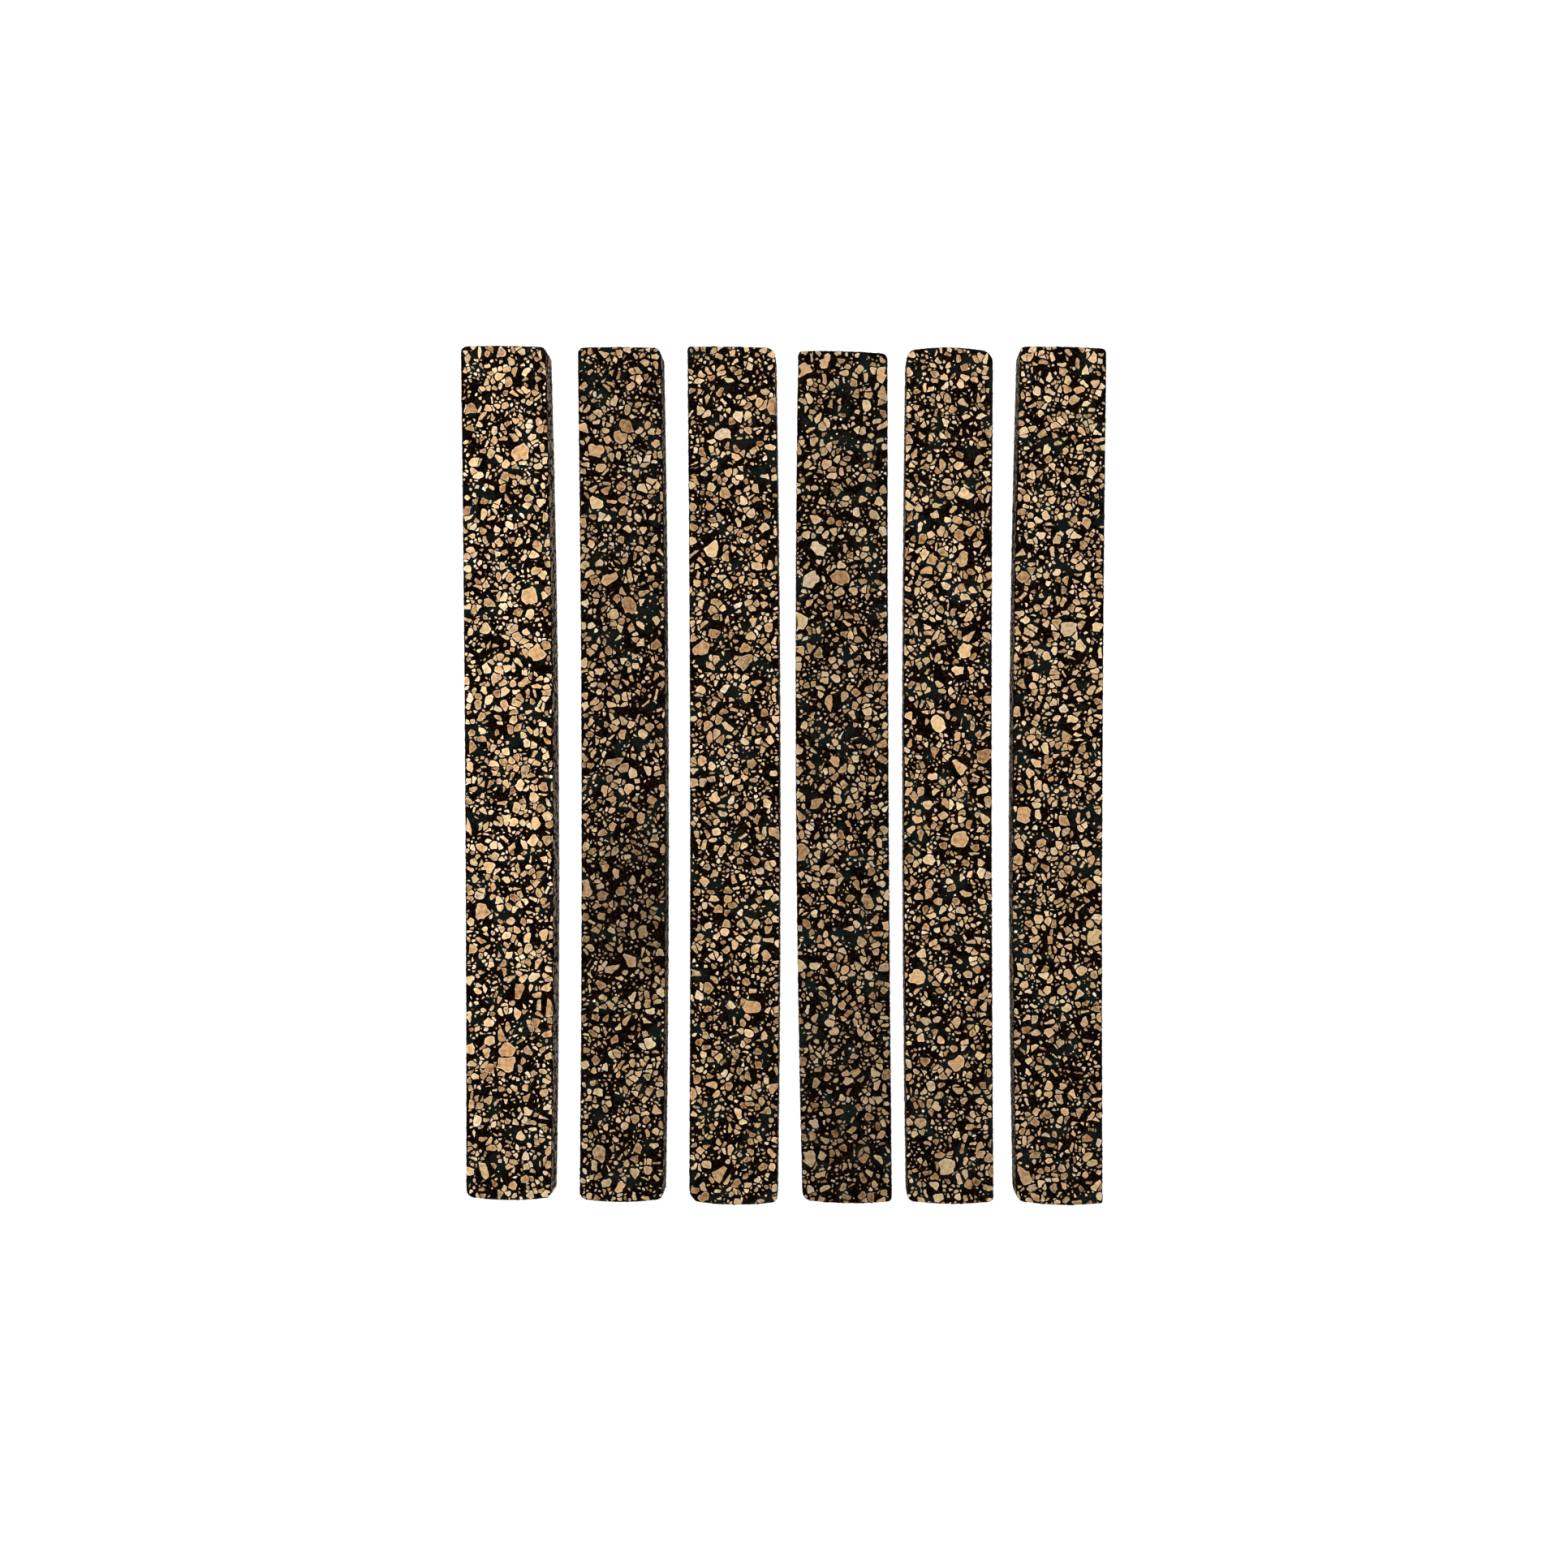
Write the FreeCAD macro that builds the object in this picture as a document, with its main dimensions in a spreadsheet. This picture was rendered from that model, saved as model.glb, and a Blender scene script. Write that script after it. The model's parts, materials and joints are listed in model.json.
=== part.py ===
import FreeCAD, Part
import Sketcher
import math
import os

# A row of six loose bars, knife-cut from one sheet of cork-filled rubber.
# Frame: +X across the row, from strip_1 to strip_6; +Y along the strips, towards
# their top ends; +Z up. The origin is under the middle of the row, on its underside.

# Sizes in millimetres, angles in degrees.

SHEET_SIZES = {
    "thickness": 6.0,    # the sheet that every strip is cut from
    "edge_ease": 0.15,   # rounding worn along the rims of both flat faces
}

# Each strip was cut by hand, so each has its own sizes.
#   length, width       overall length; width across the two ends
#   left_bow, right_bow how far each long side stands off its own chord, +X positive
#   top_crown ...       how far an end bulges past its two corners
#   top_skew ...        how much further one corner of an end reaches than the other:
#                       the left one at the top end, the right one at the bottom end
#   corner_...          radius of each upright corner
#   lean                turn about Z, positive leans the top end to -X
#   shift               how far the strip lies along +Y from the row's middle line
#   gap_after           clear space, across the ends, to the next strip in the row
STRIP_SIZES = {
    "strip_1": {
        "length": 111.3, "width": 11.0, "left_bow": 0.20, "right_bow": 0.65,
        "top_crown": 0.12, "bottom_crown": 0.40, "top_skew": 0.15, "bottom_skew": 0.15,
        "corner_top_left": 0.85, "corner_top_right": 0.70,
        "corner_bottom_left": 1.15, "corner_bottom_right": 0.75,
        "lean": 0.37, "shift": 0.30, "gap_after": 4.0,
    },
    "strip_2": {
        "length": 111.4, "width": 10.8, "left_bow": 0.37, "right_bow": 0.48,
        "top_crown": 0.12, "bottom_crown": 0.42, "top_skew": 0.05, "bottom_skew": 0.05,
        "corner_top_left": 0.85, "corner_top_right": 0.95,
        "corner_bottom_left": 1.05, "corner_bottom_right": 0.85,
        "lean": 0.13, "shift": 0.10, "gap_after": 3.5,
    },
    "strip_3": {
        "length": 111.8, "width": 11.4, "left_bow": 0.22, "right_bow": 0.44,
        "top_crown": 0.10, "bottom_crown": 0.45, "top_skew": 0.20, "bottom_skew": 0.20,
        "corner_top_left": 0.30, "corner_top_right": 1.25,
        "corner_bottom_left": 1.70, "corner_bottom_right": 0.65,
        "lean": 0.12, "shift": -0.05, "gap_after": 3.2,
    },
    "strip_4": {
        "length": 111.0, "width": 11.6, "left_bow": -0.58, "right_bow": -0.16,
        "top_crown": 0.14, "bottom_crown": 0.35, "top_skew": 0.40, "bottom_skew": 0.25,
        "corner_top_left": 0.65, "corner_top_right": 0.85,
        "corner_bottom_left": 1.30, "corner_bottom_right": 0.55,
        "lean": 0.29, "shift": -0.26, "gap_after": 2.3,
    },
    "strip_5": {
        "length": 111.6, "width": 11.2, "left_bow": -0.44, "right_bow": -0.21,
        "top_crown": 0.55, "bottom_crown": 0.38, "top_skew": 0.20, "bottom_skew": 0.12,
        "corner_top_left": 1.30, "corner_top_right": 1.65,
        "corner_bottom_left": 0.95, "corner_bottom_right": 0.65,
        "lean": 0.03, "shift": -0.05, "gap_after": 3.3,
    },
    "strip_6": {
        "length": 111.8, "width": 11.2, "left_bow": -0.74, "right_bow": -0.26,
        "top_crown": 0.12, "bottom_crown": 0.36, "top_skew": 0.20, "bottom_skew": 0.25,
        "corner_top_left": 0.65, "corner_top_right": 0.65,
        "corner_bottom_left": 1.25, "corner_bottom_right": 0.25,
        "lean": -0.26, "shift": -0.07, "gap_after": 0.0,
    },
}

SHEET_NAME = "sizes"
START, END = 1, 2          # the end points of an arc, as a sketch numbers them
ORIGIN_POINT = (-1, 1)     # the sketch's own origin
NEAR = 1e-6                # two heights closer than this are the same height


def fill_sheet(doc):
    """Write every driving size into the spreadsheet, one named cell each."""
    sheet = doc.addObject("Spreadsheet::Sheet", SHEET_NAME)
    rows = list(SHEET_SIZES.items())
    for strip, sizes in STRIP_SIZES.items():
        rows += [(strip + "_" + name, value) for name, value in sizes.items()]
    for row, (alias, value) in enumerate(rows, start=1):
        sheet.set("A%d" % row, alias)
        sheet.set("B%d" % row, str(value))
        sheet.setAlias("B%d" % row, alias)
    doc.recompute()
    return sheet


def cell(strip, name):
    """Name a strip's cell as an expression does."""
    return "%s.%s_%s" % (SHEET_NAME, strip, name)


def origin_plane(body, role):
    """Find one of a body's own origin planes by its role."""
    for feature in body.Origin.OriginFeatures:
        if feature.Role == role:
            return feature
    raise RuntimeError("%s has no %s" % (body.Label, role))


def corner_rules(strip):
    """Give each corner of the outline its place, as a pair of expressions."""
    half_width = cell(strip, "width") + " / 2"
    top = "%s / 2 - %s" % (cell(strip, "length"), cell(strip, "top_crown"))
    bottom = "%s / 2 - %s" % (cell(strip, "length"), cell(strip, "bottom_crown"))
    top_skew = cell(strip, "top_skew") + " / 2"
    bottom_skew = cell(strip, "bottom_skew") + " / 2"
    return {
        "bottom_left": ("-(%s)" % half_width, "-(%s) + %s" % (bottom, bottom_skew)),
        "bottom_right": (half_width, "-(%s) - %s" % (bottom, bottom_skew)),
        "top_right": (half_width, "%s - %s" % (top, top_skew)),
        "top_left": ("-(%s)" % half_width, "%s + %s" % (top, top_skew)),
    }


def side_rules(strip):
    """Give a point that each side of the outline passes through."""
    half_width = cell(strip, "width") + " / 2"
    half_length = cell(strip, "length") + " / 2"
    return {
        "bottom": ("0", "-(%s)" % half_length),
        "right": ("%s + %s" % (half_width, cell(strip, "right_bow")), "0"),
        "top": ("0", half_length),
        "left": ("-(%s) + %s" % (half_width, cell(strip, "left_bow")), "0"),
    }


def evaluate(sheet, rule):
    """Work out an expression's present value."""
    return float(sheet.evalExpression(rule.replace(SHEET_NAME + ".", "")))


def meet(centre_a, radius_a, centre_b, radius_b, near):
    """Find where two circles cross, at the crossing nearer to a given point."""
    line = centre_b - centre_a
    apart = line.Length
    along = (apart ** 2 + radius_a ** 2 - radius_b ** 2) / (2 * apart)
    aside = math.sqrt(radius_a ** 2 - along ** 2)
    direction = line / apart
    foot = centre_a + direction * along
    across = FreeCAD.Vector(-direction.y, direction.x, 0) * aside
    return min((foot + across, foot - across), key=lambda point: (point - near).Length)


def arc_between(centre, radius, first, last, forward):
    """Make an arc of a circle, counter-clockwise from first to last or from last to first."""
    start, end = (first, last) if forward else (last, first)
    circle = Part.Circle(centre, FreeCAD.Vector(0, 0, 1), radius)
    return Part.ArcOfCircle(circle, circle.parameter(start), circle.parameter(end))


def plan_sides(corners, crests):
    """Work out each side's circle: its centre, its radius, and if it bulges outwards."""
    names = list(corners)
    circles = {}
    for number, (side, crest) in enumerate(crests.items()):
        first, last = corners[names[number]], corners[names[(number + 1) % len(names)]]
        circle = Part.Circle(first, crest, last)
        outwards = (crest - first).cross(last - crest).z > 0
        circles[side] = (circle.Center, circle.Radius, outwards)
    return circles


def plan_corner(before, after, radius, sharp):
    """Work out a corner's arc: its centre, and where it touches the sides it joins."""
    reach = [size - radius if outwards else size + radius for _, size, outwards in (before, after)]
    centre = meet(before[0], reach[0], after[0], reach[1], sharp)
    touches = []
    for side_centre, size, _ in (before, after):
        away = centre - side_centre
        touches.append(side_centre + away * (size / away.Length))
    return centre, touches[0], touches[1]


def hold(sketch, name, rule, kind, *places_and_value):
    """Add one named size to the sketch, and let it follow an expression."""
    index = sketch.addConstraint(Sketcher.Constraint(kind, *places_and_value))
    sketch.renameConstraint(index, name)
    if rule != "0":
        sketch.setExpression("Constraints." + name, rule)


def hold_point(sketch, name, place, rules, on_sides):
    """Add a construction point on the named sides, and hold it where the sheet says."""
    point = sketch.addGeometry(Part.Point(place), True)
    for side in on_sides:
        sketch.addConstraint(Sketcher.Constraint("PointOnObject", point, START, side))
    for axis, value, rule in zip("XY", place, rules):
        hold(sketch, "%s_%s" % (name, axis.lower()), rule,
             "Distance" + axis, *ORIGIN_POINT, point, START, value)


def draw_outline(sheet, body, strip):
    """Draw the strip's outline: two bowed sides, two crowned ends, four round corners."""
    sketch = body.newObject("Sketcher::SketchObject", strip + "_outline")
    sketch.AttachmentSupport = [(origin_plane(body, "XY_Plane"), "")]
    sketch.MapMode = "FlatFace"

    def places(rules):
        return {name: FreeCAD.Vector(evaluate(sheet, pair[0]), evaluate(sheet, pair[1]), 0)
                for name, pair in rules.items()}

    corners, crests = places(corner_rules(strip)), places(side_rules(strip))
    circles = plan_sides(corners, crests)
    sides, names = list(circles), list(corners)
    count = len(sides)

    arcs = {}
    for number, name in enumerate(names):
        radius = evaluate(sheet, cell(strip, "corner_" + name))
        before, after = circles[sides[number - 1]], circles[sides[number]]
        arcs[name] = (radius,) + plan_corner(before, after, radius, corners[name])

    side_at, corner_at = {}, {}
    for number, side in enumerate(sides):
        centre, radius, outwards = circles[side]
        first, last = arcs[names[number]][3], arcs[names[(number + 1) % count]][2]
        side_at[side] = sketch.addGeometry(
            arc_between(centre, radius, first, last, outwards), False)
    for name, (radius, centre, first, last) in arcs.items():
        corner_at[name] = sketch.addGeometry(
            arc_between(centre, radius, first, last, True), False)

    for number, name in enumerate(names):
        before, after = sides[number - 1], sides[number]
        leaving = END if circles[before][2] else START
        joining = START if circles[after][2] else END
        corner = corner_at[name]
        sketch.addConstraint(
            Sketcher.Constraint("Tangent", side_at[before], leaving, corner, START))
        sketch.addConstraint(
            Sketcher.Constraint("Tangent", corner, END, side_at[after], joining))
        hold(sketch, name + "_radius", cell(strip, "corner_" + name),
             "Radius", corner, arcs[name][0])
        hold_point(sketch, name, corners[name], corner_rules(strip)[name],
                   (side_at[before], side_at[after]))
    for side, rules in side_rules(strip).items():
        hold_point(sketch, side + "_crest", crests[side], rules, (side_at[side],))
    return sketch


def flat_faces(shape):
    """Name the two flat faces that the sheet's own surfaces make."""
    names = []
    for number, face in enumerate(shape.Faces, start=1):
        if face.BoundBox.ZLength < NEAR:
            names.append("Face%d" % number)
    return names


def make_strip(doc, sheet, strip):
    """Pad the outline to the sheet's thickness, then round the rims of its flat faces."""
    body = doc.addObject("PartDesign::Body", strip)
    body.Label = strip
    outline = draw_outline(sheet, body, strip)
    doc.recompute()

    pad = body.newObject("PartDesign::Pad", strip + "_pad")
    pad.Profile = outline
    pad.setExpression("Length", SHEET_NAME + ".thickness")
    outline.Visibility = False
    doc.recompute()

    rims = body.newObject("PartDesign::Fillet", strip + "_rims")
    rims.Base = (pad, flat_faces(pad.Shape))
    rims.setExpression("Radius", SHEET_NAME + ".edge_ease")
    body.Tip = rims
    return body


def row_rule(strip):
    """Give a strip's middle across the row: what lies left of it, less half the row."""
    names = list(STRIP_SIZES)
    before = names[:names.index(strip)]
    left = [cell(name, size) for name in before for size in ("width", "gap_after")]
    whole = [cell(name, "width") for name in names]
    whole += [cell(name, "gap_after") for name in names[:-1]]
    own_half = cell(strip, "width") + " / 2"
    return "%s - (%s) / 2" % (" + ".join(left + [own_half]), " + ".join(whole))


def lay_strip(body, strip):
    """Lay the strip in its place in the row."""
    body.Placement = FreeCAD.Placement(
        FreeCAD.Vector(0, 0, 0), FreeCAD.Rotation(FreeCAD.Vector(0, 0, 1), 1))
    body.setExpression("Placement.Base.x", row_rule(strip))
    body.setExpression("Placement.Base.y", cell(strip, "shift"))
    body.setExpression("Placement.Rotation.Angle", cell(strip, "lean"))


def check_document(doc, bodies):
    """Stop if any object failed or any strip isn't one sound solid."""
    for item in doc.Objects:
        if "Invalid" in item.State or "Error" in item.State:
            raise RuntimeError("%s failed: %s" % (item.Name, item.State))
    for body in bodies:
        shape = body.Shape
        if shape.isNull() or not shape.isValid() or len(shape.Solids) != 1:
            raise RuntimeError("%s isn't one sound solid" % body.Label)
        for sketch in body.Group:
            if sketch.isDerivedFrom("Sketcher::SketchObject") and not sketch.FullyConstrained:
                raise RuntimeError("%s isn't fully constrained" % sketch.Name)


def main():
    doc = FreeCAD.newDocument("cork_rubber_strips")
    sheet = fill_sheet(doc)
    bodies = []
    for strip in STRIP_SIZES:
        body = make_strip(doc, sheet, strip)
        lay_strip(body, strip)
        bodies.append(body)
    doc.recompute()
    check_document(doc, bodies)
    os.makedirs("parts", exist_ok=True)
    for body in bodies:
        body.Shape.exportStep(os.path.join("parts", body.Label + ".step"))
        box = body.Shape.BoundBox
        print("%s  x %.2f to %.2f  y %.2f to %.2f  z %.2f to %.2f  volume %.0f mm3" % (
            body.Label, box.XMin, box.XMax, box.YMin, box.YMax, box.ZMin, box.ZMax,
            body.Shape.Volume))


main()
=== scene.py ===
"""A row of loose cork-filled rubber strips: the granules, the rubber and the stage."""

import json
import math

import bpy
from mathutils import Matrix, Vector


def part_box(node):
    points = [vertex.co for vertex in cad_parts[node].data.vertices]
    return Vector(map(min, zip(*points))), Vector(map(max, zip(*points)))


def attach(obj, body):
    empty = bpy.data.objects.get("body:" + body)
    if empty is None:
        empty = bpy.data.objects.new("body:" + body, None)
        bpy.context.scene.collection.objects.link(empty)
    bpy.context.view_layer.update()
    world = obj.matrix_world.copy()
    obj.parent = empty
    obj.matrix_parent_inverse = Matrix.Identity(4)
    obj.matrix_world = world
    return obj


bl_info = {
    "name": "Cork Rubber Strips",
    "version": (1, 0, 0),
    "blender": (4, 5, 0),
    "location": "3D View > Sidebar > Strips",
    "description": "Grows cut cork granules over rubber strips and sets a plain stage",
    "category": "Object",
}

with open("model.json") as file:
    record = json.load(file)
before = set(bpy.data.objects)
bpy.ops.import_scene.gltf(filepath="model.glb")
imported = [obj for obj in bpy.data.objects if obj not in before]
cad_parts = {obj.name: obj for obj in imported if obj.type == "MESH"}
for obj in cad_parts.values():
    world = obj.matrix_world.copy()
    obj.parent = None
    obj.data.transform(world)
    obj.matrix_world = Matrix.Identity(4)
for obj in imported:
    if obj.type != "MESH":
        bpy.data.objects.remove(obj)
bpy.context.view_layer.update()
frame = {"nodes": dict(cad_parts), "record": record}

STRIPS = sorted(frame["nodes"])
BODY_OF = {node: body for body, nodes in frame["record"]["behaviour"]["bodies"].items()
           for node in nodes}
MM = 0.001

# How each strip differs from the others. Places and reaches are in millimetres.
#   seed                     where its granules fall
#   lightness                how light its cork is
#   joint                    how wide the rubber between its granules is
#   bare_share               how much of it is bare rubber
#   bare_place, bare_reach   around where it is barer than that, and how far
#   dim                      how much darker its cork is made at its dimmed place; at the bottom ends, painted shade
#   dim_place, dim_reach     around where, and how far
STRIP_CHARACTER = {
    "strip_1": {"seed": 11, "lightness": 1.23, "joint": 0.68, "bare_share": 0.05,
                "bare_place": (-38.0, 36.0), "bare_reach": 8.0,
                "dim": 0.18, "dim_place": (-36.0, -56.0), "dim_reach": 26.0},
    "strip_2": {"seed": 23, "lightness": 0.82, "joint": 0.97, "bare_share": 0.25,
                "bare_place": (-22.0, 20.0), "bare_reach": 10.0,
                "dim": 0.42, "dim_place": (-16.0, -17.0), "dim_reach": 14.0},
    "strip_3": {"seed": 37, "lightness": 1.00, "joint": 0.92, "bare_share": 0.16,
                "bare_place": (-6.0, 8.0), "bare_reach": 4.0,
                "dim": 0.10, "dim_place": (-6.5, -56.0), "dim_reach": 34.0},
    "strip_4": {"seed": 41, "lightness": 0.77, "joint": 0.98, "bare_share": 0.26,
                "bare_place": (3.0, 43.0), "bare_reach": 15.0,
                "dim": 0.30, "dim_place": (7.5, -48.0), "dim_reach": 26.0},
    "strip_5": {"seed": 59, "lightness": 0.99, "joint": 0.92, "bare_share": 0.16,
                "bare_place": (24.0, 6.0), "bare_reach": 6.0,
                "dim": 0.26, "dim_place": (21.5, -56.0), "dim_reach": 30.0},
    "strip_6": {"seed": 67, "lightness": 0.98, "joint": 0.92, "bare_share": 0.14,
                "bare_place": (33.0, -34.0), "bare_reach": 6.0,
                "dim": 0.16, "dim_place": (35.8, -56.0), "dim_reach": 40.0},
}


# ---------------------------------------------------------------- node benches

class Wire:
    """An output socket of a node tree, on which Python's operators add nodes."""

    def __init__(self, bench, socket):
        self.bench, self.socket = bench, socket

    def is_vector(self):
        return self.socket.type in {"VECTOR", "RGBA"}

    def _math(self, operation, *values):
        return self.bench.add("ShaderNodeMath", {"operation": operation}, values)

    def _vector_math(self, operation, *values, out=0):
        return self.bench.add("ShaderNodeVectorMath", {"operation": operation}, values, out)

    def _combine(self, operation, first, second):
        vector = any(isinstance(value, tuple) or isinstance(value, Wire) and value.is_vector()
                     for value in (first, second))
        return (self._vector_math if vector else self._math)(operation, first, second)

    def __add__(self, other):
        return self._combine("ADD", self, other)

    def __radd__(self, other):
        return self._combine("ADD", other, self)

    def __sub__(self, other):
        return self._combine("SUBTRACT", self, other)

    def __rsub__(self, other):
        return self._combine("SUBTRACT", other, self)

    def __mul__(self, other):
        by_number = isinstance(other, (int, float))
        by_scalar = by_number or isinstance(other, Wire) and not other.is_vector()
        if self.is_vector() and by_scalar:
            return self.bench.add("ShaderNodeVectorMath", {"operation": "SCALE"},
                                  {"Vector": self, "Scale": other})
        if isinstance(other, Wire) and other.is_vector() and not self.is_vector():
            return other * self
        return self._combine("MULTIPLY", self, other)

    __rmul__ = __mul__

    def __truediv__(self, other):
        return self._combine("DIVIDE", self, other)

    def __rtruediv__(self, other):
        return self._combine("DIVIDE", other, self)

    def __pow__(self, power):
        return self._math("POWER", self, power)

    def __lt__(self, other):
        return self._math("LESS_THAN", self, other)

    def __gt__(self, other):
        return self._math("GREATER_THAN", self, other)

    def __abs__(self):
        return self._math("ABSOLUTE", self)

    def least(self, other):
        return self._math("MINIMUM", self, other)

    def most(self, other):
        return self._math("MAXIMUM", self, other)

    def root(self):
        return self._math("SQRT", self)

    def cosine(self):
        return self._math("COSINE", self)

    def sine(self):
        return self._math("SINE", self)

    def dot(self, other):
        return self._vector_math("DOT_PRODUCT", self, other, out="Value")

    def part(self, axis):
        return self.bench.add("ShaderNodeSeparateXYZ", {}, (self,), axis)


class Bench:
    """A node tree under construction."""

    def __init__(self, tree):
        self.tree = tree

    def node(self, kind, settings=None, values=()):
        """Add one node: its settings first, then the values or links of its sockets."""
        node = self.tree.nodes.new(kind)
        for name, value in (settings or {}).items():
            setattr(node, name, value)
        pairs = values.items() if isinstance(values, dict) else enumerate(values)
        for key, value in pairs:
            self.feed(self.socket(node.inputs, key), value)
        return node

    def add(self, kind, settings=None, values=(), out=0):
        """Add one node and give one of its outputs."""
        return self.wire(self.node(kind, settings, values), out)

    def wire(self, node, out=0):
        return Wire(self, self.socket(node.outputs, out))

    @staticmethod
    def socket(sockets, key):
        usable = [socket for socket in sockets if socket.enabled]
        if isinstance(key, int):
            return usable[key]
        return next(socket for socket in usable if socket.name == key)

    def feed(self, socket, value):
        if isinstance(value, Wire):
            self.tree.links.new(value.socket, socket)
        elif value is not None:
            socket.default_value = value

    def ramp(self, factor, stops):
        """Add a colour ramp over a factor; its stops are pairs of place and colour."""
        node = self.node("ShaderNodeValToRGB", {}, (factor,))
        elements = node.color_ramp.elements
        while len(elements) < len(stops):
            elements.new(1.0)
        for element, (place, colour) in zip(elements, stops):
            element.position = place
            element.color = (*colour, 1.0)
        return self.wire(node, "Color")

    def mix(self, factor, first, second, blend="MIX"):
        """Mix two colours."""
        return self.add("ShaderNodeMix", {"data_type": "RGBA", "blend_type": blend},
                        {"Factor": factor, "A": first, "B": second}, "Result")


def rgba(colour):
    """Give a colour property as the four numbers that a socket takes."""
    return (*tuple(colour)[:3], 1.0)


# ------------------------------------------------------------------ properties

class GranuleSettings(bpy.types.PropertyGroup):
    """Sizes of the cork granules."""

    spacing: bpy.props.FloatProperty(
        name="Seed spacing", description="Least distance between the seeds of two granules",
        default=0.46 * MM, unit="LENGTH", precision=5)
    largest: bpy.props.FloatProperty(
        name="Largest granule", description="Radius of the few largest granules",
        default=1.35 * MM, unit="LENGTH", precision=5)
    common: bpy.props.FloatProperty(
        name="Common granule", description="Radius of the larger one of the common granules",
        default=0.88 * MM, unit="LENGTH", precision=5)
    smallest: bpy.props.FloatProperty(
        name="Smallest granule", description="Radius of the smallest granules",
        default=0.25 * MM, unit="LENGTH", precision=5)
    rarity: bpy.props.FloatProperty(
        name="Rarity of large granules", description="How few of the granules are large",
        default=3.4, min=1.0)
    joint: bpy.props.FloatProperty(
        name="Rubber joint", description="Half the rubber left between two granules",
        default=0.107 * MM, unit="LENGTH", precision=5)
    warp: bpy.props.FloatProperty(
        name="Lopsidedness", description="Size of the waves that make the granules lopsided",
        default=1.60 * MM, unit="LENGTH", precision=5)
    # The paler rim is a painted highlight, and the dark edge it ends in is painted shade.
    painted_rim: bpy.props.FloatProperty(
        name="Worn rim", default=0.40 * MM, unit="LENGTH", precision=5,
        description="Width of a granule's paler, worn rim, which ends in a stained edge")
    relief: bpy.props.FloatProperty(
        name="Relief", description="How far a granule's cut face stands off the rubber",
        default=0.045 * MM, unit="LENGTH", precision=5)
    depth: bpy.props.FloatProperty(
        name="Depth", description="How far a granule reaches into the rubber",
        default=0.12 * MM, unit="LENGTH", precision=5)
    patch: bpy.props.FloatProperty(
        name="Bare patch", description="Typical size of a patch of bare rubber",
        default=3.2 * MM, unit="LENGTH", precision=5)
    large: bpy.props.FloatProperty(
        name="Large granule", default=0.50 * MM, unit="LENGTH", precision=5,
        description="Radius from which a granule's outline gets more points")
    speck_spacing: bpy.props.FloatProperty(
        name="Speck spacing", description="Least distance between two specks of cork dust",
        default=0.85 * MM, unit="LENGTH", precision=5)
    speck: bpy.props.FloatProperty(
        name="Speck", description="Largest radius of a speck of cork dust",
        default=0.32 * MM, unit="LENGTH", precision=5)


def colour_property(name, description, default):
    """Make a colour property, in the renderer's linear light."""
    return bpy.props.FloatVectorProperty(
        name=name, description=description, default=default, size=3, subtype="COLOR",
        min=0.0, max=1.0)


class FinishSettings(bpy.types.PropertyGroup):
    """Colours of the cork and the rubber."""

    bark: colour_property("Bark", "Darkest granules", (0.085, 0.045, 0.020))
    brown: colour_property("Brown cork", "Dark granules", (0.220, 0.125, 0.058))
    tan: colour_property("Tan cork", "Common granules", (0.400, 0.304, 0.204))
    pale: colour_property("Pale cork", "Light granules", (0.580, 0.460, 0.332))
    cream: colour_property("Cream cork", "Lightest granules", (0.780, 0.686, 0.560))
    straw: colour_property("Straw tint", "Tint of some granules", (1.00, 0.95, 0.84))
    golden: colour_property("Golden tint", "Tint of some granules", (1.00, 0.93, 0.62))
    pinkish: colour_property("Pinkish tint", "Tint of some granules", (1.00, 0.90, 0.86))
    orange: colour_property("Orange tint", "Tint of many granules", (1.00, 0.82, 0.58))
    rust: colour_property("Rust tint", "Tint of a few granules", (1.00, 0.72, 0.44))
    rubber: colour_property("Rubber", "Binder", (0.0014, 0.0006, 0.0004))
    rubber_warm: colour_property("Warm rubber", "Binder with fine cork dust",
                                 (0.024, 0.0105, 0.0042))
    rubber_cool: colour_property("Cool rubber", "Binder in its bare patches",
                                 (0.0030, 0.0062, 0.0056))


class StageSettings(bpy.types.PropertyGroup):
    """The floor, the lights and the camera."""

    camera_height: bpy.props.FloatProperty(
        name="Camera height", description="Height of the camera above the floor",
        default=0.270, unit="LENGTH", precision=4)
    camera_side: bpy.props.FloatProperty(
        name="Camera aside", description="How far the camera stands to the row's right",
        default=0.006, unit="LENGTH", precision=4)
    view_width: bpy.props.FloatProperty(
        name="View width", description="Width of the view at the strips' top faces",
        default=0.2042, unit="LENGTH", precision=4)
    view_low: bpy.props.FloatProperty(
        name="View low", description="How far the view's middle lies below the row's middle",
        default=0.00114, unit="LENGTH", precision=5)
    floor_size: bpy.props.FloatProperty(
        name="Floor size", description="Width of the floor", default=2.4, unit="LENGTH")
    key_power: bpy.props.FloatProperty(
        name="Key light", description="Power of the large soft light", default=3.1)
    sky: bpy.props.FloatProperty(
        name="Sky", description="Brightness of the even light all round", default=1.0)
    floor_glow: bpy.props.FloatProperty(
        name="Floor glow", description="How much light the pale floor gives by itself",
        default=0.85)


# -------------------------------------------------------------- granules' tree

CUT_FACE = 0.999        # least upward part of the direction that a flat face looks in
CUT_SIDE = 0.02         # most upward part of the direction that a side looks in
SEED_DENSITY = 1.0e8    # seeds tried per square metre, more than their spacing lets stay
LARGEST_SHARE = 0.0018  # share of the seeds that grow the few largest granules
WARP_SHARE = 0.60       # how far places are shifted, in the size of the noise's features

PATCH_WEIGHT = 2.2      # how far the patches, chance and its size keep a granule from
CHANCE_WEIGHT = 0.9     # being left out as bare rubber
SIZE_WEIGHT = 0.6
BARE_GAIN = 0.28        # how much barer a strip is in the middle of its bare place

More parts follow.
